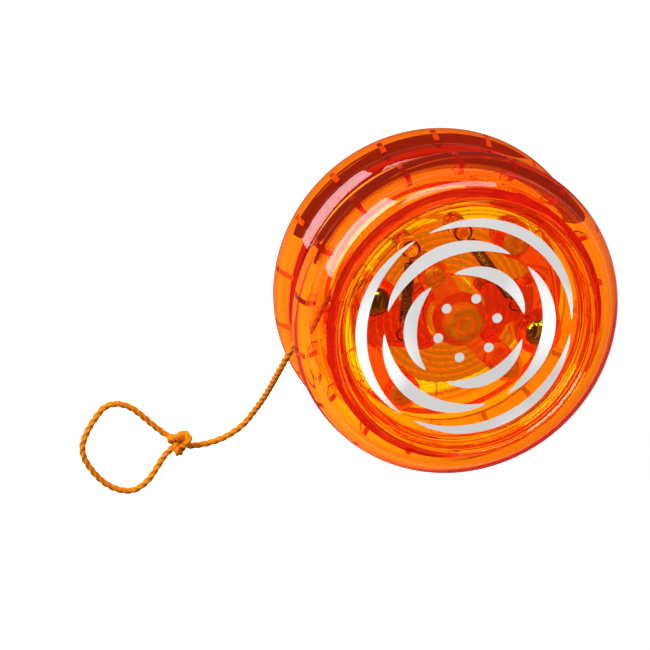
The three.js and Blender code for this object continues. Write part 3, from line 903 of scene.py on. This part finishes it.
def spring_path(hook, hook_r, post, post_r):
    """The wire's middle: a loop round the hook, close turns, and a loop round the post."""
    start, end = Vector((*hook, SPRING_HEIGHT)), Vector((*post, SPRING_HEIGHT))
    along = (end - start).normalized()
    up = Vector((0, 0, 1))
    side = up.cross(along)
    near, far = hook_r + EYE_GAP + WIRE_R, post_r + EYE_GAP + WIRE_R
    points = []
    for t in np.radians(np.linspace(40, 360, 28)):
        points.append(start + along * near * math.cos(t) + side * near * math.sin(t))
    first, last = near + EYE_NECK, (end - start).length - far - EYE_NECK
    turns = round((last - first) / (2.12 * WIRE_R))
    for t in np.linspace(0, 1, turns * 12 + 1):
        grow = min(1.0, t * turns * 2, (1 - t) * turns * 2)
        angle = 2 * math.pi * turns * t
        points.append(
            start + along * (first + (last - first) * t)
            + side * COIL_R * grow * math.cos(angle) + up * COIL_R * grow * math.sin(angle)
        )
    for t in np.radians(np.linspace(180, 500, 28)):
        points.append(end + along * far * math.cos(t) + side * far * math.sin(t))
    return points


def spring(hook, hook_r, post, post_r):
    """A tension spring of round wire, in one piece with its end loops."""
    bm = bmesh.new()
    section = circle((0, 0), WIRE_R, 8)
    swept(bm, spring_path(hook, hook_r, post, post_r), lambda i: section)
    return bm


def bridge():
    """A strap from pillar to pillar, with a boss round the bolt and one on each pillar."""
    arms, ends, holes = [], [], []
    for side in "ab":
        outline = capsule((0, 0), PILLARS[side], BRIDGE_ARM_R)
        arms.append(moulded_plate(outline, [], BRIDGE_BOTTOM, BRIDGE_TOP, 0.3))
        ends.append(rod(PILLARS[side], BRIDGE_END_R, BRIDGE_BOTTOM + 0.02, BRIDGE_TOP - 0.02, 0.3))
        holes.append(rod(PILLARS[side], SCREW_HOLE_R, 0, 20))
    hub = rod((0, 0), BRIDGE_HUB_R, BRIDGE_BOTTOM + 0.01, BRIDGE_TOP - 0.01, 0.3, 64)
    made = combined(arms[0], [arms[1], hub, *ends], "UNION")
    return combined(made, [rod((0, 0), BOLT_HOLE_R, 0, 20), *holes], "DIFFERENCE")


def drum():
    """The string's spindle, with the clutch's fluted hub above the plate."""
    profile = filleted([
        (DRUM_BORE, DRUM_BOTTOM, 0.15),
        (DRUM_R, DRUM_BOTTOM, 0.2),
        (DRUM_R, DRUM_TOP, 0.3),
        (DRUM_BORE, DRUM_TOP, 0.15),
    ])
    body = turned_mesh(profile, DRUM_STEPS)
    ring = circle((0, 0), FLUTES["ring_r"], FLUTES["count"])
    flutes = [rod(at, FLUTES["r"], PLATE_TOP + 0.3, 12, 0, 12) for at in ring]
    return combined(body, flutes, "DIFFERENCE")


def hexagon(across, bottom, top):
    """A hexagonal head or nut with its corners turned off."""
    r = across / math.sqrt(3)
    prism = turned_mesh([(0, bottom), (r, bottom), (r, top), (0, top)], 6)
    wide = r + 0.05
    lens = turned_mesh([
        (0, bottom),
        (across / 2, bottom),
        (wide, bottom + 0.25),
        (wide, top - 0.25),
        (across / 2, top),
        (0, top),
    ], 96)
    return combined(prism, [lens], "INTERSECT")


def thread_ridges():
    """The bolt's side where it is threaded, as plain ridges."""
    pitch = THREAD["pitch"]
    made, z = [], THREAD["from"]
    while z + pitch < THREAD["to"]:
        made += [(BOLT_R, z + 0.25 * pitch), (BOLT_R - THREAD["depth"], z + 0.75 * pitch)]
        z += pitch
    return made


def bolt():
    """The axle bolt, with its hexagonal head in the rear plate."""
    bottom, top = BOLT_HEAD
    shank = turned_mesh([
        (0, bottom + 0.6),
        (BOLT_R, bottom + 0.6),
        *thread_ridges(),
        (BOLT_R - 0.3, THREAD["end"]),
        (0, THREAD["end"]),
    ], SMALL_STEPS)
    return combined(shank, [hexagon(HEX_ACROSS, bottom, top)], "UNION")


def nut():
    """The nut, outside the bridge."""
    return combined(hexagon(HEX_ACROSS, *NUT), [rod((0, 0), BOLT_HOLE_R, 10, 14)], "DIFFERENCE")


def add_arm(side):
    """A clutch arm with its ball, screws and spring; arm B is arm A turned half round the axle."""
    turn = 0.0 if side == "a" else math.pi
    body = f"arm_{side}"
    arm = finished(clutch_arm(), f"arm_{side}_moulding", ARM_RESIN, turn=turn)
    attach(arm, body)
    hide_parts(f"clutch_arm_{side}")
    weight = finished(ball(), f"arm_{side}_ball", BALL_STEEL, turn=turn)
    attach(weight, body)
    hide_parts(f"weight_ball_{side}")
    pivot = finished(screw(PIVOT, **PIVOT_SCREW), f"pivot_{side}_screw", STEEL, turn=turn)
    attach(pivot, "housing")
    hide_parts(f"pivot_screw_{side}")
    fixing = finished(screw(PILLARS[side], **BRIDGE_SCREW), f"bridge_{side}_screw", STEEL)
    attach(fixing, "housing")
    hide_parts(f"bridge_screw_{side}")
    hook = ARM_HOOK if side == "a" else opposite(ARM_HOOK)
    coil = finished(spring(hook, HOOK_R, POSTS[side], POST_R), f"arm_{side}_spring", SPRING_STEEL)
    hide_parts(f"clutch_spring_{side}")
    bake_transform(coil)


def add_middle():
    """The bridge, bolt, nut and drum, and a finish and softer edges for the CAD parts that stay."""
    for maker, name, material, node, body, slot in (
        (bridge, "hub_bridge", ARM_RESIN, "clutch_bridge", "housing", "clutch_plastic"),
        (bolt, "through_bolt", STEEL, "axle_bolt", "housing", "steel"),
        (nut, "hex_nut", STEEL, "axle_nut", "housing", "steel"),
        (drum, "fluted_drum", NYLON, "string_drum", "drum", "drum_nylon"),
    ):
        piece = finished(maker(), name, material)
        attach(piece, body)
        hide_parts(node)

    for name in ("nut_washer", "front_thrust_washer", "rear_thrust_washer", "bearing_sleeve"):
        node = bpy.data.objects[name]
        node.data.materials.clear()
        node.data.materials.append(STEEL)
        edge = node.modifiers.new("edge", "BEVEL")
        edge.width = WASHER_EDGE
        edge.segments = 2
        edge.limit_method = "ANGLE"


# ---- The string ------------------------------------------------------------------------------------------


def winding_route():
    """About fifteen turns round the drum, two abreast, that swap sides once a turn."""
    turns = WINDING["turns"]
    finish = math.radians(WINDING["finish"])
    made = []
    for t in np.linspace(0, 1, int(turns * WINDING["steps"])):
        angle = finish - 2 * math.pi * turns * (1 - t)
        r = WINDING["from"] + (WINDING["to"] - WINDING["from"]) * t
        swap = max(-1.0, min(1.0, 3 * math.sin(angle / 2)))
        calm = min(1.0, (1 - t) * turns * 3)
        made.append((r * math.cos(angle), r * math.sin(angle), HALF_WIDTH + WINDING["side"] * swap * calm))
    return made


def ply_section(radius, twist_length, step):
    """The outline of three twisted plies, seen end on; they turn once in twist_length."""
    ply, offset = PLY_R * radius, PLY_OFFSET * radius

    def section(i):
        turn = 2 * math.pi * i * step / twist_length
        made = []
        for t in full_turn(24):
            lean = (t - turn + math.pi / 3) % (2 * math.pi / 3) - math.pi / 3
            r = offset * math.cos(lean) + math.sqrt(max(ply**2 - (offset * math.sin(lean)) ** 2, 0))
            made.append((r * math.cos(t), r * math.sin(t)))
        return made

    return section


def knot_mesh():
    """A closed, tightly looped stretch of string."""
    route = []
    for t in np.linspace(0, 2 * math.pi, 60):
        route.append((
            KNOT_AT[0] + KNOT_SIZE[0] * (math.sin(t) + KNOT_LOBES * math.sin(2 * t)),
            KNOT_AT[1] + KNOT_SIZE[1] * (math.cos(t) - KNOT_LOBES * math.cos(2 * t)),
            KNOT_AT[2] + KNOT_SIZE[2] * math.sin(3 * t),
        ))
    bm = bmesh.new()
    swept(bm, evenly(route, KNOT_STEP), ply_section(KNOT_STRING_R, KNOT_TWIST, KNOT_STEP))
    return bm


def add_string():
    """One string from the drum through the winding, the lead and the knot, and round the finger loop."""
    winding = winding_route()
    free = spline([winding[-1], *LEAD_ROUTE, INTO_KNOT, KNOT_AT, *LOOP_ROUTE, OUT_OF_KNOT], 12)
    path = evenly([*winding[:-1], *free], STRING_STEP)
    bm = bmesh.new()
    swept(bm, path, ply_section(STRING_R, STRING_TWIST, STRING_STEP))
    string = finished(bm, "yoyo_string", COTTON, sharp=60, lift=0)
    # Faces inside WOUND_WITHIN take the lighter, more strongly glowing copy: painted light.
    string.data.materials.append(PAINTED_LIT_COTTON)
    for face in string.data.polygons:
        x, y, _ = face.center
        face.material_index = int(math.hypot(x, y) < WOUND_WITHIN * MM)
    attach(string, "drum")
    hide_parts("string_winding", "string_lead", "finger_loop")

    knot = finished(knot_mesh(), "finger_loop_knot", COTTON, sharp=60, lift=0)
    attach(knot, "drum")
    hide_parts("finger_knot")


# ---- Floor, backdrop and cards -----------------------------------------------------------------------


def add_stage(name, bm, material, **seen_by):
    """A mesh for the studio, in metres; seen_by says which kinds of ray see it."""
    mesh = bpy.data.meshes.new(name)
    bm.to_mesh(mesh)
    bm.free()
    mesh.materials.append(material)
    item = bpy.data.objects.new(name, mesh)
    for ray, seen in seen_by.items():
        setattr(item, f"visible_{ray}", seen)
    scene.collection.objects.link(item)


def add_floor():
    """A round sheet of paper just under the yo-yo."""
    bm = bmesh.new()
    bmesh.ops.create_circle(bm, cap_ends=True, segments=FLOOR_STEPS, radius=FLOOR_RADIUS)
    bmesh.ops.translate(bm, verts=bm.verts, vec=(0, 0, FLOOR_AT))
    add_stage("floor", bm, PAPER)


def add_backdrop():
    """A pale wall round the floor's edge, which only the camera sees."""
    bm = bmesh.new()
    rows = []
    for x, y in circle((0, 0), FLOOR_RADIUS, FLOOR_STEPS):
        rows.append([bm.verts.new((x, y, z)) for z in (FLOOR_AT, BACKDROP_TOP)])
    for (a, b), (c, d) in zip(rows, rows[1:] + rows[:1]):
        bm.faces.new((a, b, d, c))
    add_stage("backdrop", bm, PAPER, diffuse=False, glossy=False, transmission=False, shadow=False)


def add_card(name, material, card):
    """A card that lies round the yo-yo as painted shade. Only shiny surfaces see it, and clear ones if
    through is set.
    """
    inner, outer = card["radii"]
    first, last = card["angles"]
    bm = bmesh.new()
    rows = []
    for degrees in np.linspace(first, last, CARD_STEPS):
        near_first = 1 - (degrees - first) / CARD_TAPER["first"]
        near_last = 1 - (last - degrees) / CARD_TAPER["last"]
        taper = CARD_TAPER["depth"] * max(0.0, near_first, near_last) ** 2
        t = math.radians(degrees)
        row = []
        for r in (inner + taper, outer):
            row.append(bm.verts.new((r * MM * math.cos(t), r * MM * math.sin(t), card["height"])))
        rows.append(row)
    for (a, b), (c, d) in zip(rows, rows[1:]):
        bm.faces.new((a, b, d, c))
    add_stage(name, bm, material, camera=False, diffuse=False, shadow=False, transmission=card["through"])


add_camera()
add_string()
add_halves()
for arm_side in "ab":
    add_arm(arm_side)
add_middle()
add_floor()
add_backdrop()
add_card("black_card", BLACK_PAPER, BLACK_CARD)
add_card("grey_card", GREY_PAPER, GREY_CARD)
add_world()
for box_name, softbox in SOFTBOXES.items():
    add_softbox(box_name, **softbox)

scene.view_settings.view_transform = "Standard"
scene.cycles.max_bounces = 32
scene.cycles.transmission_bounces = 32
scene.cycles.glossy_bounces = 12
scene.cycles.diffuse_bounces = 6
